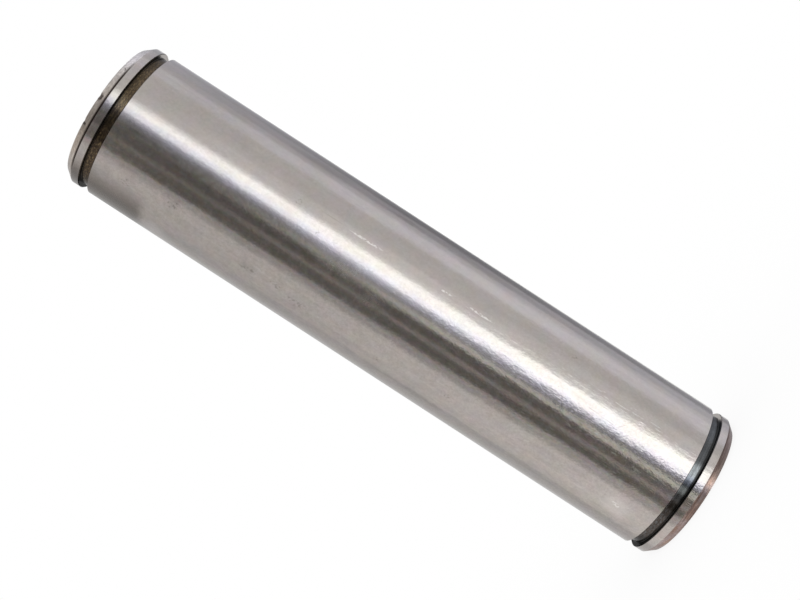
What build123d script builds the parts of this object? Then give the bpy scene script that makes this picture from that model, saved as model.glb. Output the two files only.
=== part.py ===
from build123d import *

import math
import os

# Linkage pin: a turned, induction-hardened and ground steel pin, kept in its bores by a retaining ring
# near each end. It stands on its lower end face, with its axis on +Z and its origin at that face's centre.
# All sizes are in millimetres and degrees. Both ends are alike, so one half is modelled and mirrored.

# Ground cylinder
pin_diameter = 50.0
pin_length = 220.0

# Lead-in chamfer round the end, longer along the axis than it is deep, with a rounded rim
chamfer_length = 2.7
chamfer_depth = 2.15
rim_radius = 0.3

# Retaining ring groove, with a full-diameter collar between it and the chamfer
collar_width = 2.8
groove_width = 3.15
groove_depth = 1.5
groove_root_radius = 0.25
groove_lip_break = 0.2

# Centre hole in the end face: a drilled pilot, the conical seat of the lathe centre and a guard cone
pilot_diameter = 5.0
pilot_length = 3.5
pilot_point_angle = 118.0
seat_diameter = 10.6
seat_angle = 60.0
guard_diameter = 16.0
guard_angle = 120.0

# Places that follow from the sizes
pin_radius = pin_diameter / 2
half_length = pin_length / 2
groove_start = chamfer_length + collar_width
pilot_radius = pilot_diameter / 2
seat_radius = seat_diameter / 2
guard_radius = guard_diameter / 2
seat_start = (guard_radius - seat_radius) / math.tan(math.radians(guard_angle / 2))
pilot_start = seat_start + (seat_radius - pilot_radius) / math.tan(math.radians(seat_angle / 2))
pilot_end = pilot_start + pilot_length
pilot_point = pilot_end + pilot_radius / math.tan(math.radians(pilot_point_angle / 2))

with BuildPart() as linkage_pin:
    # Lower half of the ground cylinder
    Cylinder(pin_radius, half_length, align=(Align.CENTER, Align.CENTER, Align.MIN))

    # Lead-in chamfer, then its rim on the end face
    end_face = linkage_pin.faces().sort_by(Axis.Z)[0]
    chamfer(end_face.edges(), length=chamfer_depth, length2=chamfer_length, reference=end_face)
    rim = linkage_pin.faces().sort_by(Axis.Z)[0].edges()
    fillet(rim, radius=rim_radius)

    # Retaining ring groove
    with BuildSketch(Plane.XZ):
        with Locations((pin_radius, groove_start)):
            Rectangle(2 * groove_depth, groove_width, align=(Align.CENTER, Align.MIN))
    revolve(axis=Axis.Z, mode=Mode.SUBTRACT)

    # Round root at the groove's floor and broken lips at its mouth, which are the circles of the
    # cylinder between the chamfer's upper edge and the cut through mid-length
    circles = linkage_pin.edges().filter_by(GeomType.CIRCLE)
    groove_floor = circles.filter_by(lambda edge: math.isclose(edge.radius, pin_radius - groove_depth))
    fillet(groove_floor, radius=groove_root_radius)
    circles = linkage_pin.edges().filter_by(GeomType.CIRCLE)
    groove_lips = circles.group_by(SortBy.RADIUS)[-1].sort_by(Axis.Z)[1:-1]
    chamfer(groove_lips, length=groove_lip_break)

    # Centre hole
    with BuildSketch(Plane.XZ):
        with BuildLine():
            Polyline(
                (0, 0),
                (guard_radius, 0),
                (seat_radius, seat_start),
                (pilot_radius, pilot_start),
                (pilot_radius, pilot_end),
                (0, pilot_point),
                close=True,
            )
        make_face()
    revolve(axis=Axis.Z, mode=Mode.SUBTRACT)

    # Upper half
    mirror(about=Plane.XY.offset(half_length))

linkage_pin.part.label = "linkage_pin"

os.makedirs("parts", exist_ok=True)
export_step(linkage_pin.part, "parts/linkage_pin.step")
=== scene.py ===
import math
from collections import namedtuple

import bpy
import numpy as np
from mathutils import Matrix, Vector


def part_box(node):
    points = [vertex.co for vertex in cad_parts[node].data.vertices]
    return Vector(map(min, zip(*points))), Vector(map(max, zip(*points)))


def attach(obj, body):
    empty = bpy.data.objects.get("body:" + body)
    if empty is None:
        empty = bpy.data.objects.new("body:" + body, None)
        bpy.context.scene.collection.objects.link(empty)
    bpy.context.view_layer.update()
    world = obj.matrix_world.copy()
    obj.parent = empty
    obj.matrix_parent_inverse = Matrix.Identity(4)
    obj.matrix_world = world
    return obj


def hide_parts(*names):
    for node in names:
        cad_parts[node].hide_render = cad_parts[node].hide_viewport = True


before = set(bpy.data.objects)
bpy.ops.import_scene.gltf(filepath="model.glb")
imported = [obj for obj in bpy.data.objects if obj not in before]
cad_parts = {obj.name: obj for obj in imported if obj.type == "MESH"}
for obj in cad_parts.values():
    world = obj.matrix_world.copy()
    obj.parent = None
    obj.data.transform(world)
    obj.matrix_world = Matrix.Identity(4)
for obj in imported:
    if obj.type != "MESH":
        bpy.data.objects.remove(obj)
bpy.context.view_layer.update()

# Sizes of the pin in metres and degrees. The box comes from the pin's part in model.glb, the rest repeats
# the CAD source.
MM = 0.001
PIN = "linkage_pin"

pin_low, pin_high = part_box(PIN)
pin_radius = (pin_high.x - pin_low.x) / 2
pin_length = pin_high.z - pin_low.z

chamfer_length = 2.7 * MM
chamfer_depth = 2.15 * MM
rim_radius = 0.3 * MM
collar_width = 2.8 * MM
collar_edge_radius = 0.08 * MM
groove_width = 3.15 * MM
groove_depth = 1.5 * MM
groove_root_radius = 0.25 * MM
groove_lip_break = 0.2 * MM
pilot_radius = 2.5 * MM
pilot_length = 3.5 * MM
pilot_point_angle = 118.0
seat_radius = 5.3 * MM
seat_angle = 60.0
guard_radius = 8.0 * MM
guard_angle = 120.0

groove_low = chamfer_length + collar_width
groove_high = groove_low + groove_width
rim_circle = pin_radius - chamfer_depth


# The pin's surface, turned from one outline

SEGMENTS = 288
BODY_RING_SPACING = 4.0 * MM
SHARP_CORNER = math.radians(24)
UV_GAP = 2 * MM


def cone_depth(wide, narrow, angle):
    """Depth over which a cone of that full angle narrows from one radius to the other."""
    return (wide - narrow) / math.tan(math.radians(angle / 2))


def straight(start, end, pieces=1):
    """Points from start to end in equal pieces."""
    start, end = np.array(start), np.array(end)
    return [start + (end - start) * share for share in np.linspace(0, 1, pieces + 1)]


def rounded(start, corner, end, pieces=5):
    """Points of a smooth curve from start to end that stays inside the corner."""
    start, corner, end = np.array(start), np.array(corner), np.array(end)
    shares = np.linspace(0, 1, pieces + 1)
    return [(1 - k) ** 2 * start + 2 * k * (1 - k) * corner + k**2 * end for k in shares]


def lower_outline():
    """The outline from the lower axis point to mid-length, as zones with (radius, height) points."""
    seat_start = cone_depth(guard_radius, seat_radius, guard_angle)
    pilot_start = seat_start + cone_depth(seat_radius, pilot_radius, seat_angle)
    pilot_end = pilot_start + pilot_length
    pilot_point = pilot_end + cone_depth(pilot_radius, 0, pilot_point_angle)
    slope = np.array((chamfer_depth, chamfer_length)) / math.hypot(chamfer_depth, chamfer_length)
    tangent = rim_radius * math.tan(math.atan2(chamfer_length, chamfer_depth) / 2)
    rim_start = (rim_circle - tangent, 0)
    rim_corner = np.array((rim_circle, 0))
    rim_end = rim_corner + slope * tangent
    collar_corner = np.array((pin_radius, chamfer_length))
    collar_edge = collar_corner - slope * collar_edge_radius
    collar_start = (pin_radius, chamfer_length + collar_edge_radius)
    floor = pin_radius - groove_depth
    lip, root = groove_lip_break, groove_root_radius
    middle = pin_length / 2
    body_pieces = round(middle / BODY_RING_SPACING)
    return [
        ("centre", straight((0, pilot_point), (pilot_radius, pilot_end))),
        ("centre", straight((pilot_radius, pilot_end), (pilot_radius, pilot_start), pieces=2)),
        ("centre", straight((pilot_radius, pilot_start), (seat_radius, seat_start), pieces=3)),
        ("centre", straight((seat_radius, seat_start), (guard_radius, 0), pieces=2)),
        ("face", straight((guard_radius, 0), rim_start, pieces=8)),
        ("chamfer", rounded(rim_start, rim_corner, rim_end)),
        ("chamfer", straight(rim_end, collar_edge, pieces=6)),
        ("chamfer", rounded(collar_edge, collar_corner, collar_start, pieces=3)),
        ("collar", straight(collar_start, (pin_radius, groove_low - lip), pieces=3)),
        ("groove", straight((pin_radius, groove_low - lip), (pin_radius - lip, groove_low))),
        ("groove", straight((pin_radius - lip, groove_low), (floor + root, groove_low), pieces=2)),
        ("groove", rounded((floor + root, groove_low), (floor, groove_low), (floor, groove_low + root))),
        ("groove", straight((floor, groove_low + root), (floor, groove_high - root), pieces=4)),
        ("groove", rounded((floor, groove_high - root), (floor, groove_high), (floor + root, groove_high))),
        ("groove", straight((floor + root, groove_high), (pin_radius - lip, groove_high), pieces=2)),
        ("body", straight((pin_radius - lip, groove_high), (pin_radius, groove_high + lip))),
        ("body", straight((pin_radius, groove_high + lip), (pin_radius, middle), body_pieces)),
    ]


def mirrored(points):
    """The same points at the other end of the pin, in the opposite order."""
    return [(radius, pin_length - height) for radius, height in reversed(points)]


def whole_outline():
    """Radii and heights from the lower axis point to the upper one, and the (half, zone) of each step."""
    lower = lower_outline()
    upper = [(zone, mirrored(points)) for zone, points in reversed(lower)]
    outline = [lower[0][1][0]]
    zones = []
    for half, stretches in (("lower", lower), ("upper", upper)):
        for zone, points in stretches:
            outline.extend(points[1:])
            zones.extend([(half, zone)] * (len(points) - 1))
    radii, heights = np.array(outline).T
    return radii, heights + pin_low.z, zones


# Nicks in the rim of the upper end: azimuth in degrees, half-width round the rim and depth
RIM_NICKS = (
    (6.5, 0.9 * MM, 0.22 * MM),
    (2.5, 0.6 * MM, 0.14 * MM),
    (-16.0, 0.7 * MM, 0.18 * MM),
    (41.0, 0.6 * MM, 0.10 * MM),
    (118.0, 0.9 * MM, 0.16 * MM),
    (-131.0, 0.7 * MM, 0.15 * MM),
)
NICK_HEIGHT = 0.7 * MM
NICK_SINK = 0.5


def around(azimuth):
    """Unit vector at that azimuth in degrees: 0 faces the camera's side, -Y, and 90 faces +X."""
    return np.array((math.sin(math.radians(azimuth)), -math.cos(math.radians(azimuth)), 0.0))


def nick_rim(rings, outward):
    """Press the nicks into the upper rim, each inwards and, by NICK_SINK of that, down."""
    for azimuth, half_width, depth in RIM_NICKS:
        spot = around(azimuth) * rim_circle + (0, 0, pin_high.z)
        offset = rings - spot
        across = np.hypot(offset[..., 0], offset[..., 1]) / half_width
        away = np.hypot(across, offset[..., 2] / NICK_HEIGHT)
        dent = depth * np.clip(1 - away**2, 0, 1)
        rings[..., :2] -= outward[None, :, :2] * dent[..., None]
        rings[..., 2] -= dent * NICK_SINK


def ring_faces(ring_count):
    """Vertex numbers of the faces: a fan at the lower axis point, bands between rings and an upper fan."""
    this = np.arange(SEGMENTS)
    following = (this + 1) % SEGMENTS
    faces = [(0, 1 + b, 1 + a) for a, b in zip(this, following)]
    for ring in range(ring_count - 1):
        low = 1 + ring * SEGMENTS
        high = low + SEGMENTS
        faces += [(low + a, low + b, high + b, high + a) for a, b in zip(this, following)]
    top = 1 + (ring_count - 1) * SEGMENTS
    last = top + SEGMENTS
    faces += [(top + a, top + b, last) for a, b in zip(this, following)]
    return [tuple(map(int, face)) for face in faces]


def turned_mesh(name, materials):
    """A closed mesh turned about the Z axis from the outline, with its zones' materials and a UV map."""
    radii, heights, zones = whole_outline()
    angles = np.linspace(0, 2 * math.pi, SEGMENTS, endpoint=False)
    outward = np.stack((np.sin(angles), -np.cos(angles), np.zeros(SEGMENTS)), axis=1)
    rings = outward[None] * radii[1:-1, None, None]
    rings[:, :, 2] = heights[1:-1, None]
    nick_rim(rings, outward)
    vertices = np.concatenate(([(0, 0, heights[0])], rings.reshape(-1, 3), [(0, 0, heights[-1])]))
    faces = ring_faces(len(rings))

    mesh = bpy.data.meshes.new(name)
    mesh.from_pydata(vertices.tolist(), [], faces)
    kinds = list(materials)
    for kind in kinds:
        mesh.materials.append(materials[kind])
    slot_of_step = [kinds.index(zone if zone in kinds else f"{half}_{zone}") for half, zone in zones]
    mesh.polygons.foreach_set("material_index", np.repeat(slot_of_step, SEGMENTS))
    mesh.polygons.foreach_set("use_smooth", np.ones(len(faces), dtype=bool))
    mesh.set_sharp_from_angle(angle=SHARP_CORNER)
    unroll(mesh, radii, heights, zones)
    mesh.validate()
    mesh.update()
    return mesh


def unroll(mesh, radii, heights, zones):
    """UV map with the body as one strip and each end as another beside it, all at one scale."""
    arc = np.concatenate(([0], np.cumsum(np.hypot(np.diff(radii), np.diff(heights)))))
    body = [step for step, (half, zone) in enumerate(zones) if zone == "body"]
    body_start, body_end = arc[body[0]], arc[body[-1] + 1]
    girth = 2 * math.pi * pin_radius
    side = girth + body_start + (arc[-1] - body_end) + 4 * UV_GAP
    shifts = {"lower": girth + 2 * UV_GAP, "upper": girth + 3 * UV_GAP + body_start - body_end}
    coordinates = []
    for step, (half, zone) in enumerate(zones):
        lengths = (arc[step], arc[step + 1])
        for segment in range(SEGMENTS):
            left = segment / SEGMENTS * girth + UV_GAP
            right = (segment + 1) / SEGMENTS * girth + UV_GAP
            if zone == "body":
                low, high = (length - body_start + UV_GAP for length in lengths)
                corners = [(left, low), (right, low), (right, high), (left, high)]
            else:
                low, high = (length + shifts[half] for length in lengths)
                corners = [(low, left), (low, right), (high, right), (high, left)]
            # The fans at both ends are triangles
            if step == 0:
                corners = [corners[0], corners[2], corners[3]]
            elif step == len(zones) - 1:
                corners = [corners[0], corners[1], corners[3]]
            coordinates += corners
    layer = mesh.uv_layers.new(name="OFBake")
    layer.data.foreach_set("uv", (np.array(coordinates) / side).ravel())


# Materials. Their places, lengths and depths are in millimetres and their azimuths and leans in degrees.

RADIUS_MM = pin_radius / MM
LENGTH_MM = pin_length / MM
ANISOTROPIC_TURN = 0.25
WHITE = (1.0, 1.0, 1.0)

# Sockets of the Mix node, which has its own for numbers and for colours: factor, first and second
MIX_NUMBER_INPUTS = (0, 2, 3)
MIX_NUMBER_OUTPUT = 0
MIX_COLOUR_INPUTS = (0, 6, 7)
MIX_COLOUR_OUTPUT = 2

# A noise with features of about 1 / scale, on a place as it is or, if stretch is given, times that
Texture = namedtuple("Texture", "scale detail roughness stretch", defaults=(None,))


class Nodes:
    """A material's node tree, grown by calls that each add a node and return its output."""

    def __init__(self, name):
        self.material = bpy.data.materials.new(name)
        self.material.use_nodes = True
        self.tree = self.material.node_tree
        self.tree.nodes.clear()

    def add(self, kind, inputs=None, output=0, **settings):
        node = self.tree.nodes.new(kind)
        for key, value in settings.items():
            setattr(node, key, value)
        for key, value in (inputs or {}).items():
            self.feed(node.inputs[key], value)
        return node.outputs[output]

    def feed(self, socket, value):
        """Link value to the socket if it is another node's output, or else set it there."""
        if isinstance(value, bpy.types.NodeSocket):
            self.tree.links.new(value, socket)
        elif socket.type == "RGBA":
            socket.default_value = (*value, 1.0)
        else:
            socket.default_value = value

    def math(self, operation, *values):
        return self.add("ShaderNodeMath", dict(enumerate(values)), operation=operation)

    def times(self, a, b):
        return self.math("MULTIPLY", a, b)

    def plus(self, a, b):
        return self.math("ADD", a, b)

    def larger(self, a, b):
        return self.math("MAXIMUM", a, b)

    def vector(self, operation, *values, output="Vector"):
        inputs = dict(enumerate(values))
        return self.add("ShaderNodeVectorMath", inputs, output, operation=operation)

    def scaled(self, vector, by):
        return self.vector("MULTIPLY", vector, by)

    def noise(self, vector, texture, output="Fac"):
        """That texture as a number about 0 to 1, or as a colour if output says so."""
        if texture.stretch:
            vector = self.scaled(vector, texture.stretch)
        inputs = {
            "Vector": vector,
            "Scale": texture.scale,
            "Detail": texture.detail,
            "Roughness": texture.roughness,
        }
        return self.add("ShaderNodeTexNoise", inputs, output)

    def between(self, value, low, high, smooth=True):
        """0 where value is at low, 1 where it is at high, and a step between them."""
        kind = "SMOOTHSTEP" if smooth else "LINEAR"
        inputs = {"Value": value, "From Min": low, "From Max": high}
        return self.add("ShaderNodeMapRange", inputs, interpolation_type=kind)

    def mix(self, factor, a, b):
        """Colour a where factor is 0 and b where it is 1."""
        inputs = dict(zip(MIX_COLOUR_INPUTS, (factor, a, b)))
        return self.add("ShaderNodeMix", inputs, MIX_COLOUR_OUTPUT, data_type="RGBA")

    def blend(self, factor, a, b):
        """Number a where factor is 0 and b where it is 1."""
        inputs = dict(zip(MIX_NUMBER_INPUTS, (factor, a, b)))
        return self.add("ShaderNodeMix", inputs, MIX_NUMBER_OUTPUT, data_type="FLOAT")

    def dimmed(self, colour, light, least):
        """The colour itself where light is 1, and only least times as bright where light is 0."""
        return self.scaled(colour, self.blend(light, least, 1.0))

    def relief(self, layers):
        """Normal of a surface with (height, depth) layers on it: height 1 stands depth above height 0."""
        normal = None
        for height, depth in layers:
            inputs = {"Height": height, "Strength": 1.0, "Distance": depth * MM}
            if normal is not None:
                inputs["Normal"] = normal
            normal = self.add("ShaderNodeBump", inputs)
        return normal

    def steel(self, colour, roughness, normal, anisotropy, edge=WHITE):
        """Metal that scatters wide along the pin and little round it, as its grinding and turning lines do.

        Seen at a grazing angle, its colour is that of clean metal times edge.
        """
        inputs = {
            "Base Color": colour,
            "Metallic": 1.0,
            "Roughness": roughness,
            "Normal": normal,
            "Anisotropic": anisotropy,
            "Anisotropic Rotation": ANISOTROPIC_TURN,
            "Tangent": self.add("ShaderNodeTangent", direction_type="RADIAL", axis="Z"),
            "Specular Tint": edge,
        }
        self.add_output(self.add("ShaderNodeBsdfPrincipled", inputs))
        return self.material

    def add_output(self, shader):
        node = self.tree.nodes.new("ShaderNodeOutputMaterial")
        self.tree.links.new(shader, node.inputs["Surface"])


class Surface:
    """What the pin's materials go by, as outputs of a node tree.

    These are the place, its height, its azimuth in radians, its place on the unrolled cylinder and its
    distance from the nearer end.
    """

    def __init__(self, nodes):
        self.nodes = nodes
        in_metres = nodes.add("ShaderNodeTexCoord", output="Object")
        self.place = nodes.scaled(in_metres, (1 / MM, 1 / MM, 1 / MM))
        x, y, self.height = nodes.add("ShaderNodeSeparateXYZ", {0: self.place}).node.outputs
        self.radians = nodes.math("ARCTAN2", x, nodes.times(y, -1.0))
        way_round = nodes.times(self.radians, RADIUS_MM)
        self.unrolled = nodes.add("ShaderNodeCombineXYZ", {0: way_round, 1: self.height})
        from_top = nodes.math("SUBTRACT", LENGTH_MM, self.height)
        self.from_end = nodes.math("MINIMUM", self.height, from_top)

    def side(self, azimuth, start, full):
        """1 on the side that faces that azimuth and 0 elsewhere.

        It grows from 0 to 1 while the cosine of the angle from the azimuth grows from start to full.
        """
        ahead = tuple(around(azimuth) / RADIUS_MM)
        cosine = self.nodes.vector("DOT_PRODUCT", self.place, ahead, output="Value")
        return self.nodes.between(cosine, start, full)


# Sides of the pin: the azimuth that each faces, and the cosines of the angle from it where the side starts
# and where it is full. Left and right are those of the standing pin, seen from the camera's side. A groove's
# floor lies deeper than the cylinder, so there the cosines come out 0.94 times as large.
WORN_SIDE = (-70.0, 0.0, 0.42)
OILY_SIDE = (-14.0, 0.965, 0.985)
RUBBED_SIDE = (5.0, 0.970, 0.990)
DARK_PATCH_SIDE = (-90.0, 0.59, 0.885)
DARK_PATCH_FRONT = (-45.0, 0.05, 0.70)
# The next two sides are where a groove's colour holds a painted highlight, in front, and painted shade, on
# the left
GROOVE_HIGHLIT_FRONT = (2.0, 0.895, 0.92)
GROOVE_SHADED_LEFT = (-70.0, 0.1, 0.66)
# The next two are the sides where the groove's corner wall gets painted shade, on the left, and painted
# light, on the right
SHADED_WALL_SIDE = (-88.0, 0.86, 0.93)
LIT_WALL_SIDE = (88.0, 0.90, 0.95)
CHAMFER_FRONT = (-25.0, 0.45, 0.98)
CHAMFER_RIM_FRONT = (0.0, 0.94, 0.99)
UPPER_CHAMFER_STAINED_SIDE = (-10.0, 0.52, 0.84)
LOWER_CHAMFER_STAINED_SIDE = (40.0, 0.84, 0.97)

# Heights between which a trait of the ground cylinder grows from nothing to its full amount
WORN_END = (150.0, 20.0)
RUBBED_END = (125.0, 70.0)
DARK_PATCH_END = (189.8, 194.3)
BRINK = (LENGTH_MM - 2.98, LENGTH_MM - 2.82)

# Ranges over which a noise goes from its dark parts to its light ones
WIDE = (0.25, 0.75)
MEDIUM = (0.3, 0.7)
NARROW = (0.35, 0.65)
LINE_RANGE = (0.35, 0.6)

# How a mark fades in, by a cone over it that is 0 at its edge and 1 in its middle
SOFT_FADE = (0.0, 0.8)
FIRM_FADE = (0.0, 0.7)
PIT_FADE = (0.0, 0.6)
NICK_FADE = (0.05, 0.5)

# Marks on the ground cylinder: azimuth, height, lean from the axis, half-length and half-width
# Nicks, cut in as relief, whose light colour is a painted glint
GLINTING_NICK_ROWS = (
    (22.6, 128.4, 1, 7.2, 0.6),
    (22.4, 99.6, 1, 2.6, 0.5),
    (22.5, 88.0, 1, 6.6, 0.55),
    (-41.0, 21.0, -15, 1.8, 1.0),
)
SCUFFED_PATCHES = (
    (20.6, 34.0, 0, 27.0, 3.2),
    (20.4, 46.5, 2, 4.0, 1.9),
    (20.4, 30.5, 2, 8.0, 2.0),
)
PITTED_PATCHES = (
    (-32.0, 183.6, 12, 2.6, 1.5),
    (-43.8, 154.8, 10, 4.2, 1.4),
    (-42.2, 144.4, 8, 3.4, 1.4),
    (-46.2, 136.6, 4, 4.6, 1.8),
    (-42.0, 83.0, 10, 2.2, 1.1),
    (-48.4, 106.6, 0, 1.6, 1.4),
    (35.2, 56.6, 20, 1.8, 1.1),
    (8.0, 141.5, 0, 1.4, 1.2),
    (-38.0, 200.0, 0, 3.5, 1.6),
    (20.0, 152.0, 0, 1.2, 0.8),
)
SCRATCHES = (
    (8.9, 43.2, 2, 3.4, 0.22),
    (8.2, 37.8, -3, 3.2, 0.20),
    (-8.6, 66.0, 4, 4.5, 0.35),
    (-9.8, 58.8, -2, 4.0, 0.35),
    (20.0, 49.0, 42, 2.4, 0.16),
    (10.0, 33.6, 48, 3.2, 0.18),
    (4.0, 31.6, 50, 3.6, 0.18),
    (-2.0, 29.9, 52, 3.0, 0.18),
    (2.5, 36.0, -46, 2.0, 0.15),
    (23.2, 141.0, 1, 6.0, 0.2),
    (-60.5, 100.0, 1, 11.0, 0.35),
    (-58.0, 76.0, -2, 9.0, 0.3),
)
SMEARS = (
    (64.0, 150.0, 3, 12.0, 1.3),
    (61.0, 122.0, 4, 9.0, 1.2),
    (68.0, 128.0, 2, 14.0, 1.6),
    (66.0, 102.0, 3, 9.0, 1.2),
    (-42.5, 155.0, 12, 5.0, 2.6),
    (-32.0, 184.0, 20, 3.0, 2.0),
    (-60.0, 88.0, 0, 12.0, 1.6),
    (60.0, 153.0, 4, 14.0, 4.4),
    (110.0, 60.0, 10, 16.0, 5.0),
    (165.0, 150.0, -15, 20.0, 6.0),
    (-140.0, 100.0, 12, 18.0, 6.0),
    (-160.0, 40.0, 4, 12.0, 3.0),
)
OIL_STAINS = ((-58.0, 216.0, 0, 3.0, 6.5),)
BRIGHT_PATCHES = (
    (-66.0, 186.5, 0, 6.0, 5.0),
    (-43.0, 20.5, -10, 7.0, 6.0),
    (-40.0, 22.5, -20, 3.0, 2.5),
)
HAZY_PATCHES = ((-4.0, 128.5, 0, 15.0, 6.5), (-12.0, 118.0, 0, 7.0, 5.0))

# The noise that breaks up the nicks and the pits, and the range over which each sets in
NICK_FLAKES = Texture(1.0, 2.0, 0.6, (1.5, 0.8, 1.0))
NICK_FLAKE_RANGE = (0.44, 0.58)
PIT_SPECKS = Texture(1.6, 2.0, 0.6)
PIT_SPECK_RANGE = (0.49, 0.64)

# Diagonal scuffs: the lean of each set and its shift along the noise, their shape, and how much more of them
# a scuffed patch has
SCUFF_SETS = ((38.0, 0.0), (-42.0, 31.0))
SCUFF_SHAPE = (2.6, 0.22, 1.0)
SCUFFS = Texture(1.0, 1.0, 0.5)
SCUFF_RANGE = (0.66, 0.76)
SCUFFED_GAIN = 2.0

# The noise that moves marks about, so that their outlines are uneven, and how far it reaches
WANDER = Texture(0.6, 3.0, 0.5)
WANDER_MIDDLE = (0.5, 0.5, 0.5)
WANDER_REACH = (3.0, 3.0, 0.0)


def marks(nodes, where, places, fade):
    """1 inside each mark and 0 outside. A mark is its azimuth, height, lean, half-length and half-width."""
    total = 0.0
    for azimuth, height, lean, half_length, half_width in places:
        inputs = {
            "Vector": where,
            "Location": (math.radians(azimuth) * RADIUS_MM, height, 0.0),
            "Rotation": (0.0, 0.0, math.radians(lean)),
            "Scale": (half_width, half_length, 1.0),
        }
        local = nodes.add("ShaderNodeMapping", inputs, vector_type="TEXTURE")
        cone = nodes.add("ShaderNodeTexGradient", {"Vector": local}, "Fac", gradient_type="SPHERICAL")
        total = nodes.larger(total, cone)
    return nodes.between(total, *fade)


def uneven(nodes, at):
    """The unrolled place, moved a little either way so that marks get uneven outlines."""
    wander = nodes.noise(at.place, WANDER, "Color")
    offset = nodes.vector("SUBTRACT", wander, WANDER_MIDDLE)
    return nodes.vector("ADD", at.unrolled, nodes.scaled(offset, WANDER_REACH))


def diagonal_scuffs(nodes, at, amount):
    """Short fine scuffs that lean both ways."""
    total = 0.0
    for lean, shift in SCUFF_SETS:
        inputs = {
            "Vector": at.unrolled,
            "Location": (shift, shift, 0.0),
            "Rotation": (0.0, 0.0, math.radians(lean)),
            "Scale": SCUFF_SHAPE,
        }
        leaning = nodes.add("ShaderNodeMapping", inputs)
        total = nodes.larger(total, nodes.between(nodes.noise(leaning, SCUFFS), *SCUFF_RANGE))
    return nodes.times(total, amount)


def ground_marks(nodes, at, worn_end):
    """Where each kind of mark in MARK_TINTS lies on the ground cylinder, and where it is hazy."""
    ragged = uneven(nodes, at)
    ragged_height = nodes.add("ShaderNodeSeparateXYZ", {0: ragged}, output=1)
    # A dark, dull patch by the upper end, on the left side and fading towards the front
    dark_patch = nodes.times(nodes.between(ragged_height, *DARK_PATCH_END), at.side(*DARK_PATCH_SIDE))
    dark_patch = nodes.times(dark_patch, at.side(*DARK_PATCH_FRONT))
    flakes = nodes.between(nodes.noise(at.unrolled, NICK_FLAKES), *NICK_FLAKE_RANGE)
    specks = nodes.between(nodes.noise(at.place, PIT_SPECKS), *PIT_SPECK_RANGE)
    scuffed = nodes.times(marks(nodes, ragged, SCUFFED_PATCHES, FIRM_FADE), SCUFFED_GAIN)
    return {
        "bright": marks(nodes, ragged, BRIGHT_PATCHES, SOFT_FADE),
        "smears": marks(nodes, ragged, SMEARS, SOFT_FADE),
        "dark_patches": nodes.larger(dark_patch, marks(nodes, ragged, OIL_STAINS, SOFT_FADE)),
        "pits": nodes.times(marks(nodes, ragged, PITTED_PATCHES, PIT_FADE), specks),
        "scratches": marks(nodes, at.unrolled, SCRATCHES, SOFT_FADE),
        "scuffs": diagonal_scuffs(nodes, at, nodes.plus(worn_end, scuffed)),
        "nicks": nodes.times(marks(nodes, at.unrolled, GLINTING_NICK_ROWS, NICK_FADE), flakes),
        "brink": nodes.times(nodes.between(at.height, *BRINK), at.side(*UPPER_CHAMFER_STAINED_SIDE)),
        "haze": marks(nodes, ragged, HAZY_PATCHES, SOFT_FADE),
    }


# Textures of the ground steel
GRAIN = Texture(1.3, 2.0, 0.6)
FINE_GRAIN = Texture(3.2, 1.0, 0.5)
CLOUDS = Texture(0.42, 3.0, 0.7)
STREAKS = Texture(1.0, 2.0, 0.5, (0.9, 0.9, 0.035))
SWELL = Texture(1.0, 2.0, 0.5, (0.30, 0.30, 0.07))
PATCHES = Texture(1.0, 3.0, 0.55, (0.12, 0.12, 0.05))
GRINDING_LINES = Texture(1.0, 2.0, 0.6, (0.05, 0.05, 3.5))
RUB_WAVES = Texture(0.24, 2.0, 0.5, (1.0, 1.0, 0.6))

# Its colour is HUE_BASE plus up to HUE_RANGE, times FILM_BASE plus up to FILM_RANGE under a film of oil
HUES = Texture(0.20, 3.0, 0.5)
HUE_BASE = (0.436, 0.410, 0.374)
HUE_RANGE = (0.066, 0.040, 0.070)
FILM = Texture(0.8, 3.0, 0.6, (1.0, 1.0, 0.45))
FILM_BASE = (0.79, 0.86, 0.77)
FILM_RANGE = (0.42, 0.28, 0.46)

# How bright the dark parts of each texture stay, on the clean side or end and on the worn one
PATCH_DIM = 0.94
STREAK_DIM = (0.965, 0.945)
GRAIN_DIM = (0.945, 0.90)
FINE_DIM = (0.98, 0.95)
CLOUD_DIM = (0.96, 0.90)

# Marks in the order in which they are laid on: how far each takes the colour to its own, and that colour
CHAMFER_STAIN = (0.036, 0.025, 0.021)
MARK_TINTS = {
    "bright": (0.35, (0.62, 0.58, 0.56)),
    "smears": (0.22, (0.19, 0.17, 0.15)),
    # A dark, dull patch by the upper end and an oil stain on the collar
    "dark_patches": (0.79, (0.115, 0.10, 0.088)),
    "pits": (0.46, (0.12, 0.105, 0.09)),
    "scratches": (0.25, (0.20, 0.185, 0.17)),
    "scuffs": (0.10, (0.62, 0.60, 0.58)),
    # The nicks' light colour is a painted glint
    "nicks": (0.50, (0.85, 0.83, 0.80)),
    "brink": (0.80, CHAMFER_STAIN),
}

# Roughness in the dark and the light patches, and what the clouds, by side, and the dark patches and haze
# add
PATCH_ROUGHNESS = (0.196, 0.180)
CLOUD_ROUGHNESS = (0.008, 0.028)
DULL_PATCH_ROUGHNESS = 0.07
GROUND_ANISOTROPY = 0.65

# Depths of the relief, how it grows from the clean to the worn end, and what the rub adds. The cuts go in.
SWELL_DEPTH, SWELL_GROWTH = 0.030, (0.6, 1.0)
WAVE_DEPTH = 0.060
LINE_DEPTH = 0.004
CLOUD_DEPTH, CLOUD_GROWTH, CLOUD_RUB = 0.020, (1.0, 1.8), 1.6
GRAIN_DEPTH, GRAIN_GROWTH, GRAIN_RUB = 0.007, (1.0, 2.0), 1.2
FINE_DEPTH, FINE_GROWTH = 0.002, (0.8, 1.7)
SCUFF_DEPTH = 0.006
CUT_DEPTH = -0.006


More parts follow.
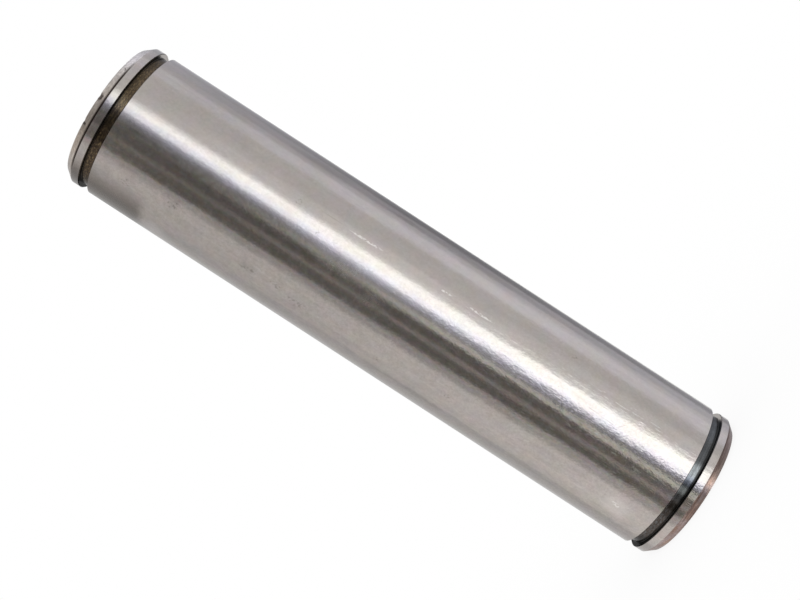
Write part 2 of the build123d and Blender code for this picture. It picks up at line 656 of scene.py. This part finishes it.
def ground_steel():
    """The ground cylinder: fine grain and lines, faint mottling, pits and stains of handling, nicks whose
    light colour is a painted glint, and a dark patch by the upper end.
    """
    nodes = Nodes("ground_steel")
    at = Surface(nodes)
    worn_side = at.side(*WORN_SIDE)
    worn_end = nodes.between(at.height, *WORN_END)
    rub = nodes.times(at.side(*RUBBED_SIDE), nodes.between(at.height, *RUBBED_END))
    mask = ground_marks(nodes, at, worn_end)
    grain = nodes.noise(at.place, GRAIN)
    fine = nodes.noise(at.place, FINE_GRAIN)
    clouds = nodes.noise(at.place, CLOUDS)
    light_clouds = nodes.between(clouds, *MEDIUM)
    light_patches = nodes.between(nodes.noise(at.place, PATCHES), *MEDIUM)
    light_streaks = nodes.between(nodes.noise(at.place, STREAKS), *WIDE)

    colour = nodes.vector("MULTIPLY_ADD", nodes.noise(at.place, HUES, "Color"), HUE_RANGE, HUE_BASE)
    film = nodes.vector("MULTIPLY_ADD", nodes.noise(at.place, FILM, "Color"), FILM_RANGE, FILM_BASE)
    colour = nodes.mix(at.side(*OILY_SIDE), colour, nodes.scaled(colour, film))
    colour = nodes.dimmed(colour, light_patches, PATCH_DIM)
    colour = nodes.dimmed(colour, light_streaks, nodes.blend(worn_side, *STREAK_DIM))
    colour = nodes.dimmed(colour, nodes.between(grain, *WIDE), nodes.blend(worn_side, *GRAIN_DIM))
    colour = nodes.dimmed(colour, nodes.between(fine, *WIDE), nodes.blend(worn_end, *FINE_DIM))
    colour = nodes.dimmed(colour, light_clouds, nodes.blend(worn_side, *CLOUD_DIM))
    for kind, (share, tint) in MARK_TINTS.items():
        colour = nodes.mix(nodes.times(mask[kind], share), colour, tint)

    cloud_roughness = nodes.times(light_clouds, nodes.blend(worn_side, *CLOUD_ROUGHNESS))
    dull_patch_roughness = nodes.times(nodes.larger(mask["dark_patches"], mask["haze"]), DULL_PATCH_ROUGHNESS)
    roughness = nodes.plus(nodes.blend(light_patches, *PATCH_ROUGHNESS), cloud_roughness)
    roughness = nodes.plus(roughness, dull_patch_roughness)

    swell = nodes.times(nodes.noise(at.place, SWELL), nodes.blend(worn_end, *SWELL_GROWTH))
    waves = nodes.times(nodes.noise(at.place, RUB_WAVES), rub)
    cloud_growth = nodes.plus(nodes.blend(worn_end, *CLOUD_GROWTH), nodes.times(rub, CLOUD_RUB))
    grain_growth = nodes.plus(nodes.blend(worn_end, *GRAIN_GROWTH), nodes.times(rub, GRAIN_RUB))
    fine_growth = nodes.blend(worn_end, *FINE_GROWTH)
    cuts = nodes.larger(nodes.larger(mask["scratches"], mask["pits"]), mask["nicks"])
    normal = nodes.relief((
        (swell, SWELL_DEPTH),
        (waves, WAVE_DEPTH),
        (nodes.noise(at.place, GRINDING_LINES), LINE_DEPTH),
        (nodes.times(clouds, cloud_growth), CLOUD_DEPTH),
        (nodes.times(grain, grain_growth), GRAIN_DEPTH),
        (nodes.times(fine, fine_growth), FINE_DEPTH),
        (mask["scuffs"], SCUFF_DEPTH),
        (cuts, CUT_DEPTH),
    ))
    return nodes.steel(colour, roughness, normal, GROUND_ANISOTROPY)


def turned_lines(pitch, length=33.0):
    """Texture of tool lines that run round the pin for about that length, one about every pitch along it."""
    return Texture(1.0, 2.0, 0.6, (1 / length, 1 / length, 1 / pitch))


# The ring grooves: textures, how bright their dark parts stay, and relief
GROOVE_LINES = turned_lines(0.28)
GROOVE_SPECKS = Texture(1.0, 3.0, 0.65, (1.1, 1.1, 2.2))
GROOVE_SPECK_RANGE = (0.46, 0.70)
GROOVE_PATCHES = Texture(0.16, 2.0, 0.5)
GROOVE_GRAIN = Texture(2.6, 1.0, 0.5)
GROOVE_PATCH_DIM = 0.78
GROOVE_LINE_DIM = 0.65
GROOVE_GRAIN_DIM = 0.8
GROOVE_LINE_DEPTH = 0.02
GROOVE_SPECK_DEPTH = 0.006
GROOVE_ROUGHNESS = 0.20
GROOVE_ANISOTROPY = 0.86

# The groove's corner beside the collar, painted shade: where it sets in and where it is full, both from its
# own edge, its share of black in front, its colours, and the grazing tints of the groove and of the corner's
# two walls. The wall to the left gets painted shade and the one to the right painted light.
CORNER_START, CORNER_FULL = 0.3, -0.2
CORNER_SHARE_AHEAD = 0.94
PAINTED_CORNER_SHADE = (0.015, 0.014, 0.013)
PAINTED_WALL_LIGHT = (0.220, 0.190, 0.170)
GROOVE_EDGE, SHADED_WALL_EDGE, LIT_WALL_EDGE = 0.68, 0.42, 0.9


def groove_steel(name, left, front, right, fleck, corner_width, corner_share):
    """A ring groove: dark turned steel with flecks, in a colour each for its left, its front and its right.
    These are partly its tint and partly painted light: painted shade on the left and a painted highlight in
    front.

    The corner beside the collar is painted shade, corner_width wide, that goes towards black by
    corner_share, and further in front. Where it turns from the camera's sight, its wall has painted shade,
    black, to the left and painted light to the right.
    """
    nodes = Nodes(name)
    at = Surface(nodes)
    lines = nodes.noise(at.place, GROOVE_LINES)
    specks = nodes.noise(at.place, GROOVE_SPECKS)
    patches = nodes.noise(at.place, GROOVE_PATCHES)
    grain = nodes.noise(at.place, GROOVE_GRAIN)
    # Colours by side, partly tint and partly painted light: painted shade on the left, a painted highlight
    # in front
    ahead = at.side(*GROOVE_HIGHLIT_FRONT)
    tone = nodes.mix(at.side(*GROOVE_SHADED_LEFT), right, left)
    tone = nodes.mix(ahead, tone, front)
    tone = nodes.mix(nodes.between(specks, *GROOVE_SPECK_RANGE), tone, fleck)
    tone = nodes.dimmed(tone, nodes.between(patches, *NARROW), GROOVE_PATCH_DIM)
    tone = nodes.dimmed(tone, nodes.between(lines, *LINE_RANGE), GROOVE_LINE_DIM)
    tone = nodes.dimmed(tone, nodes.between(grain, *NARROW), GROOVE_GRAIN_DIM)

    # Painted shade in the corner beside the collar and on the wall to the left, painted light on the wall to
    # the right, in colour and in grazing tint
    corner_edge = groove_low / MM + corner_width
    corner = nodes.between(at.from_end, corner_edge + CORNER_START, corner_edge + CORNER_FULL)
    painted_wall_shade = nodes.times(corner, at.side(*SHADED_WALL_SIDE))
    painted_wall_light = nodes.times(corner, at.side(*LIT_WALL_SIDE))
    corner = nodes.times(corner, nodes.blend(ahead, corner_share, CORNER_SHARE_AHEAD))
    tone = nodes.mix(nodes.larger(corner, painted_wall_shade), tone, PAINTED_CORNER_SHADE)
    tone = nodes.mix(painted_wall_light, tone, PAINTED_WALL_LIGHT)
    edge = nodes.blend(painted_wall_shade, GROOVE_EDGE, SHADED_WALL_EDGE)
    edge = nodes.blend(painted_wall_light, edge, LIT_WALL_EDGE)
    normal = nodes.relief(((lines, GROOVE_LINE_DEPTH), (specks, GROOVE_SPECK_DEPTH)))
    return nodes.steel(tone, GROOVE_ROUGHNESS, normal, GROOVE_ANISOTROPY, edge)


# The lead-in chamfers: textures, how bright their dark parts stay, and relief
CHAMFER_LINES = turned_lines(0.35)
CHAMFER_BANDS = turned_lines(0.9, length=12.0)
CHAMFER_BAND_RANGE = (0.50, 0.34)
CHAMFER_GRAIN = Texture(1.4, 3.0, 0.65)
CHAMFER_HUES = Texture(1.0, 2.0, 0.55, (0.20, 0.20, 0.6))
CHAMFER_HUE_RANGE = (0.36, 0.62)
CHAMFER_GRAIN_DIM = 0.64
CHAMFER_LINE_DEPTH = 0.02
CHAMFER_GRAIN_DEPTH = 0.012
CHAMFER_ANISOTROPY = 1.0

# Distances from the end face between which the stained edge and the tinted rim set in, how far the grain
# shifts them, how rough the stained edge is and how far the rim takes its tint
CHAMFER_EDGE = (2.05, 2.8)
CHAMFER_RIM = (1.1, 0.5)
CHAMFER_SHIFT = 0.6
EDGE_ROUGHNESS = 0.60
RIM_SHARE = 0.7


def chamfer_steel(name, hues, aside, dark, shares, stained_side, roughness, blotches, rim=None):
    """A lead-in chamfer with turning lines and grain, in two hues in front and the colour aside elsewhere.

    It goes towards the dark colour by shares in bands, along its edge with the collar on the stained side,
    and in its blotches. In front, its rim may have a tint of its own.
    """
    band_share, edge_share, blotch_share = shares
    nodes = Nodes(name)
    at = Surface(nodes)
    lines = nodes.noise(at.place, CHAMFER_LINES)
    bands = nodes.noise(at.place, CHAMFER_BANDS)
    grain = nodes.noise(at.place, CHAMFER_GRAIN)
    light_hue = nodes.between(nodes.noise(at.place, CHAMFER_HUES), *CHAMFER_HUE_RANGE)
    ragged_place = nodes.plus(at.from_end, nodes.times(grain, CHAMFER_SHIFT))
    edge = nodes.times(nodes.between(ragged_place, *CHAMFER_EDGE), at.side(*stained_side))
    tone = nodes.mix(light_hue, *hues)
    tone = nodes.mix(at.side(*CHAMFER_FRONT), aside, tone)
    tone = nodes.dimmed(tone, nodes.between(grain, *MEDIUM), CHAMFER_GRAIN_DIM)
    tone = nodes.mix(nodes.times(nodes.between(bands, *CHAMFER_BAND_RANGE), band_share), tone, dark)
    if rim:
        rim_ahead = nodes.times(nodes.between(ragged_place, *CHAMFER_RIM), at.side(*CHAMFER_RIM_FRONT))
        tone = nodes.mix(nodes.times(rim_ahead, RIM_SHARE), tone, rim)
    tone = nodes.mix(nodes.times(edge, edge_share), tone, dark)
    stained = marks(nodes, uneven(nodes, at), blotches, FIRM_FADE)
    tone = nodes.mix(nodes.times(stained, blotch_share), tone, dark)
    normal = nodes.relief(((lines, CHAMFER_LINE_DEPTH), (grain, CHAMFER_GRAIN_DEPTH)))
    return nodes.steel(tone, nodes.blend(edge, roughness, EDGE_ROUGHNESS), normal, CHAMFER_ANISOTROPY)


# The end faces and centre holes: how far the noise of their tool lines drifts over a degree, so that the
# lines are no whole circles, their textures, how bright their dark parts stay, and relief
FACE_DRIFT = 0.004
FACE_LINES = Texture(3.2, 2.0, 0.6)
FACE_PATCHES = Texture(0.2, 3.0, 0.6)
FACE_PATCH_DIM = 0.8
FACE_LINE_DIM = 0.85
FACE_LINE_DEPTH = 0.012
FACE_ROUGHNESS = 0.36
FACE_ANISOTROPY = 0.85


def turned_steel(name, colour):
    """A turned end face or centre hole."""
    nodes = Nodes(name)
    at = Surface(nodes)
    across = nodes.vector("LENGTH", nodes.scaled(at.place, (1.0, 1.0, 0.0)), output="Value")
    drift = nodes.times(nodes.math("DEGREES", at.radians), FACE_DRIFT)
    drifting = nodes.add("ShaderNodeCombineXYZ", {0: across, 1: at.height, 2: drift})
    lines = nodes.noise(drifting, FACE_LINES)
    patches = nodes.noise(at.place, FACE_PATCHES)
    tone = nodes.dimmed(colour, nodes.between(patches, *MEDIUM), FACE_PATCH_DIM)
    tone = nodes.dimmed(tone, nodes.between(lines, *LINE_RANGE), FACE_LINE_DIM)
    normal = nodes.relief(((lines, FACE_LINE_DEPTH),))
    return nodes.steel(tone, FACE_ROUGHNESS, normal, FACE_ANISOTROPY)


ground = ground_steel()
materials = {
    "body": ground,
    "collar": ground,
    # Each groove's colours by side hold painted shade on the left and a painted highlight in front;
    # corner_width and corner_share set the painted shade beside the collar
    "lower_groove": groove_steel(
        "blued_groove_steel",
        left=(0.098, 0.082, 0.073),
        front=(0.215, 0.226, 0.236),
        right=(0.130, 0.137, 0.143),
        fleck=(0.160, 0.163, 0.168),
        corner_width=0.65,
        corner_share=0.75,
    ),
    "upper_groove": groove_steel(
        "oiled_groove_steel",
        left=(0.072, 0.053, 0.040),
        front=(0.098, 0.076, 0.055),
        right=(0.100, 0.076, 0.052),
        fleck=(0.250, 0.185, 0.105),
        corner_width=0.38,
        corner_share=0.66,
    ),
    "lower_chamfer": chamfer_steel(
        "heat_tinted_steel",
        hues=((0.370, 0.245, 0.195), (0.430, 0.340, 0.325)),
        aside=(0.360, 0.285, 0.255),
        dark=(0.090, 0.055, 0.050),
        shares=(0.58, 0.40, 0.34),
        stained_side=LOWER_CHAMFER_STAINED_SIDE,
        roughness=0.40,
        blotches=((-35.0, 1.3, 0, 4.5, 6.5), (-1.0, 1.3, 0, 3.5, 3.6), (42.0, 1.3, 0, 4.5, 8.5)),
        rim=(0.480, 0.270, 0.190),
    ),
    "upper_chamfer": chamfer_steel(
        "turned_chamfer_steel",
        hues=((0.420, 0.355, 0.300), (0.510, 0.450, 0.400)),
        aside=(0.530, 0.495, 0.480),
        dark=CHAMFER_STAIN,
        shares=(0.18, 1.0, 0.85),
        stained_side=UPPER_CHAMFER_STAINED_SIDE,
        roughness=0.34,
        blotches=((6.0, 219.3, 0, 0.9, 2.2), (-18.2, 219.4, 0, 0.6, 1.0), (34.0, 218.6, 0, 0.5, 0.7)),
    ),
    "face": turned_steel("turned_face_steel", (0.420, 0.390, 0.365)),
    "centre": turned_steel("centre_hole_steel", (0.360, 0.335, 0.310)),
}

pin = bpy.data.objects.new("turned_pin", turned_mesh("turned_pin", materials))
bpy.context.scene.collection.objects.link(pin)
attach(pin, "root")
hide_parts(PIN)


# Studio: a white surround, a pale floor and, for the steel to mirror, tall cards round the pin, a dim disc
# over it and under it, and a strip lamp

CARD_DISTANCE = 2.0
CARD_REACH = 3.2
BEND_REACH = 0.6
LEVEL_REACH = 0.47
FADE_REACH = 1.8
DISC_DISTANCE = 2.4
DISC_RADIUS = 2.0
DISC_SIDES = 48
FLOOR_RADIUS = 12.0
FLOOR_SIDES = 72
FLOOR_DIFFUSE = 0.12
MIDDLE = Vector((0, 0, (pin_low.z + pin_high.z) / 2))

COLD = (0.985, 1.0, 1.09)
COOL = (0.985, 1.0, 1.06)
VIOLET = (0.94, 0.99, 1.18)
OLIVE = (1.0, 1.02, 0.95)
CREAM = (0.965, 1.0, 0.99)
LILAC = (0.945, 1.0, 1.11)
WARM = (1.05, 1.00, 0.955)
MOSS = (1.035, 1.00, 0.92)
ROSE = (1.015, 1.00, 0.985)

# Each card: its name, the azimuths between which it stands above the pin's middle and below it, its tint,
# and how bright it is high up, above the pin, level with it, below it and low down. The surround has 1.
CARDS = (
    ("rear_right", (138, 164), (136, 160), COLD, (1.25, 0.56, 0.26, 0.43, 0.70)),
    ("right_shade", (118, 138), (118, 136), COLD, (2.20, 0.62, 0.49, 0.78, 0.90)),
    ("right_turn", (106.5, 118), (108, 118), COOL, (1.60, 0.67, 0.87, 0.98, 0.90)),
    ("right_bright", (86, 106.5), (85, 108), COOL, (2.00, 0.87, 1.15, 1.20, 0.60)),
    ("right_wall", (62, 86), (62, 85), WHITE, (1.60, 0.81, 0.88, 0.93, 0.50)),
    ("near_wall", (52, 62), (52, 62), WHITE, (0.95, 0.89, 0.89, 1.18, 0.70)),
    ("key_glow", (32.5, 52), (41.2, 52), WHITE, (0.85, 0.94, 1.21, 1.08, 0.90)),
    ("key_shoulder", (26.5, 32.5), (37.6, 41.2), CREAM, (0.90, 1.58, 1.30, 1.70, 1.20)),
    ("key_core", (20, 26.5), (16, 37.6), CREAM, (1.00, 2.44, 2.48, 2.90, 1.80)),
    ("key_lower", (12, 20), (9.9, 16), LILAC, (0.90, 1.95, 2.71, 2.82, 1.60)),
    ("key_fade", (7, 12), (6.5, 9.9), VIOLET, (0.65, 0.66, 1.43, 0.72, 0.90)),
    ("key_edge", (3, 7), (2.5, 6.5), VIOLET, (0.42, 0.32, 0.97, 0.65, 0.50)),
    ("beside_key", (-2, 3), (-2.5, 2.5), COOL, (0.38, 0.24, 0.62, 0.06, 0.40)),
    ("thin_reflector", (-7, -2), (-14.5, -2.5), OLIVE, (0.40, 0.00, 0.96, 1.12, 0.90)),
    ("dark_gap", (-25, -7), (-25, -14.5), WARM, (0.50, 0.132, 0.162, 0.176, 0.70)),
    ("dim_line", (-31, -25), (-31, -25), WARM, (0.70, 0.25, 0.41, 0.57, 1.00)),
    ("lower_dark_gap", (-48.8, -31), (-44.3, -31), MOSS, (1.00, 0.136, 0.198, 0.147, 0.95)),
    ("half_shade", (-58.8, -48.8), (-60, -44.3), ROSE, (1.20, 0.57, 0.58, 0.69, 1.30)),
    ("left_wall", (-100, -58.8), (-100, -60), ROSE, (1.70, 0.77, 0.93, 1.14, 1.60)),
    ("left_turn", (-118, -100), (-118, -100), ROSE, (1.70, 0.73, 0.86, 1.06, 1.60)),
    ("rear_left", (-178, -118), (-178, -118), WHITE, (1.20, 0.68, 0.70, 0.75, 1.10)),
)

# Each disc: its name, its side of the pin along Z, the place of its dim middle, and how bright that middle
# and its rim are
DISCS = (("overhead", 1, (-0.5, 0.2), 0.45, 1.25), ("underfoot", -1, (0.6, 0.3), 0.39, 1.30))
DISC_MIDDLE, DISC_RIM = 0.15, 0.80

# The strip lamp under the pin: its two ends, its half-width and how bright it is
STRIP_ENDS = ((0.85, -1.80), (0.22, 1.60))
STRIP_HALF_WIDTH = 0.13
STRIP_CLEARANCE = 0.05
STRIP_LEVEL = 3.5


def level_circle(radius, height, sides):
    """Corners of a level polygon about the Z axis."""
    return [around(360 * side / sides) * radius + (0, 0, height) for side in range(sides)]


def glow_material(name, share, stops, tint):
    """Light whose brightness follows share through stops of (share, brightness)."""
    nodes = Nodes(name)
    glow = nodes.add("ShaderNodeValToRGB", {"Fac": share(nodes)})
    elements = glow.node.color_ramp.elements
    while len(elements) < len(stops):
        elements.new(0.5)
    for element, (place, level) in zip(elements, stops):
        element.position = place
        element.color = (level, level, level, 1.0)
    nodes.add_output(nodes.add("ShaderNodeEmission", {"Color": nodes.scaled(glow, tint), "Strength": 1.0}))
    return nodes.material


def steel_only(name, corners, faces, material):
    """A lit shape that only the steel's reflections see, so that the floor and the background stay plain."""
    mesh = bpy.data.meshes.new(name)
    mesh.from_pydata([tuple(corner) for corner in corners], [], faces)
    mesh.materials.append(material)
    shape = bpy.data.objects.new(name, mesh)
    shape.location = MIDDLE
    bpy.context.scene.collection.objects.link(shape)
    shape.visible_camera = False
    shape.visible_diffuse = False
    shape.visible_transmission = False
    shape.visible_shadow = False


def studio_card(name, upper, lower, tint, levels):
    """A tall card, bent where its azimuths stop changing, whose brightness changes over its height."""
    rows = ((-CARD_REACH, lower), (-BEND_REACH, lower), (BEND_REACH, upper), (CARD_REACH, upper))
    corners = []
    for height, azimuths in rows:
        corners += [around(azimuth) * CARD_DISTANCE + (0, 0, height) for azimuth in azimuths]
    faces = [(row, row + 1, row + 3, row + 2) for row in (0, 2, 4)]

    def share(nodes):
        place = nodes.add("ShaderNodeTexCoord", output="Object")
        height = nodes.add("ShaderNodeSeparateXYZ", {0: place}, output=2)
        return nodes.between(height, FADE_REACH, -FADE_REACH, smooth=False)

    heights = (FADE_REACH, LEVEL_REACH, 0.0, -LEVEL_REACH, -FADE_REACH)
    stops = [((1 - height / FADE_REACH) / 2, level) for height, level in zip(heights, levels)]
    steel_only(name, corners, faces, glow_material(name, share, stops, tint))


def studio_disc(name, side, middle, dim, bright):
    """A level disc above or below the pin, dim in the middle and brighter outwards."""
    height = side * DISC_DISTANCE
    corners = level_circle(DISC_RADIUS, height, DISC_SIDES)

    def share(nodes):
        place = nodes.add("ShaderNodeTexCoord", output="Object")
        offset = nodes.vector("SUBTRACT", place, (*middle, height))
        return nodes.math("DIVIDE", nodes.vector("LENGTH", offset, output="Value"), DISC_RADIUS)

    glow = glow_material(name, share, ((DISC_MIDDLE, dim), (DISC_RIM, bright)), WHITE)
    steel_only(name, corners, [tuple(range(DISC_SIDES))], glow)


def strip_lamp():
    """A narrow lamp just over the lower disc, which the lower chamfer mirrors as one bright spot."""
    start, end = (np.array((*place, STRIP_CLEARANCE - DISC_DISTANCE)) for place in STRIP_ENDS)
    along = (end - start) / np.linalg.norm(end - start)
    aside = np.array((-along[1], along[0], 0.0)) * STRIP_HALF_WIDTH
    corners = [start - aside, end - aside, end + aside, start + aside]
    nodes = Nodes("strip_lamp")
    nodes.add_output(nodes.add("ShaderNodeEmission", {"Color": WARM, "Strength": STRIP_LEVEL}))
    steel_only("strip_lamp", corners, [(0, 1, 2, 3)], nodes.material)


def studio_floor():
    """A pale matt floor that looks white, apart from a faint shadow by the pin.

    The steel does not mirror it, but the lower disc.
    """
    corners = level_circle(FLOOR_RADIUS, pin_low.z, FLOOR_SIDES)
    mesh = bpy.data.meshes.new("floor")
    mesh.from_pydata([tuple(corner) for corner in corners], [], [tuple(range(FLOOR_SIDES))])
    nodes = Nodes("pale_floor")
    path = nodes.add("ShaderNodeLightPath").node
    seen = nodes.larger(path.outputs["Is Camera Ray"], path.outputs["Is Glossy Ray"])
    seen = nodes.larger(seen, path.outputs["Is Transmission Ray"])
    diffuse = nodes.add("ShaderNodeBsdfDiffuse", {"Color": (FLOOR_DIFFUSE,) * 3})
    glow = nodes.add("ShaderNodeEmission", {"Color": (1 - FLOOR_DIFFUSE,) * 3, "Strength": seen})
    nodes.add_output(nodes.add("ShaderNodeAddShader", {0: diffuse, 1: glow}))
    mesh.materials.append(nodes.material)
    floor = bpy.data.objects.new("floor", mesh)
    bpy.context.scene.collection.objects.link(floor)
    floor.visible_glossy = False


for name, *card in CARDS:
    studio_card("card_" + name, *card)
for disc in DISCS:
    studio_disc(*disc)
strip_lamp()
studio_floor()

world = bpy.data.worlds.new("white_surround")
world.use_nodes = True
world.node_tree.nodes["Background"].inputs["Color"].default_value = (*WHITE, 1.0)
world.node_tree.nodes["Background"].inputs["Strength"].default_value = 1.0
world.cycles.sampling_method = "NONE"
bpy.context.scene.world = world


# Camera: about level with the pin's middle and rolled, so that the standing pin lies across the picture

CAMERA_PLACE = Vector((0.00007, -0.46288, 0.11176))
CAMERA_DIP = 0.2025
CAMERA_ROLL = 57.003
LENS_LENGTH = 65.496
SENSOR_WIDTH = 36.0
CLIP_START = 0.01

dip, roll = math.radians(CAMERA_DIP), math.radians(CAMERA_ROLL)
ahead = Vector((0, math.cos(dip), -math.sin(dip)))
level_right = Vector((1, 0, 0))
level_up = level_right.cross(ahead)
right = level_right * math.cos(roll) - level_up * math.sin(roll)
up = level_right * math.sin(roll) + level_up * math.cos(roll)
turn = Matrix((right, up, -ahead)).transposed()

lens = bpy.data.cameras.new("camera")
lens.lens = LENS_LENGTH
lens.sensor_width = SENSOR_WIDTH
lens.clip_start = CLIP_START
camera = bpy.data.objects.new("camera", lens)
camera.matrix_world = Matrix.Translation(CAMERA_PLACE) @ turn.to_4x4()
bpy.context.scene.collection.objects.link(camera)
bpy.context.scene.camera = camera
bpy.context.scene.view_settings.view_transform = "Standard"
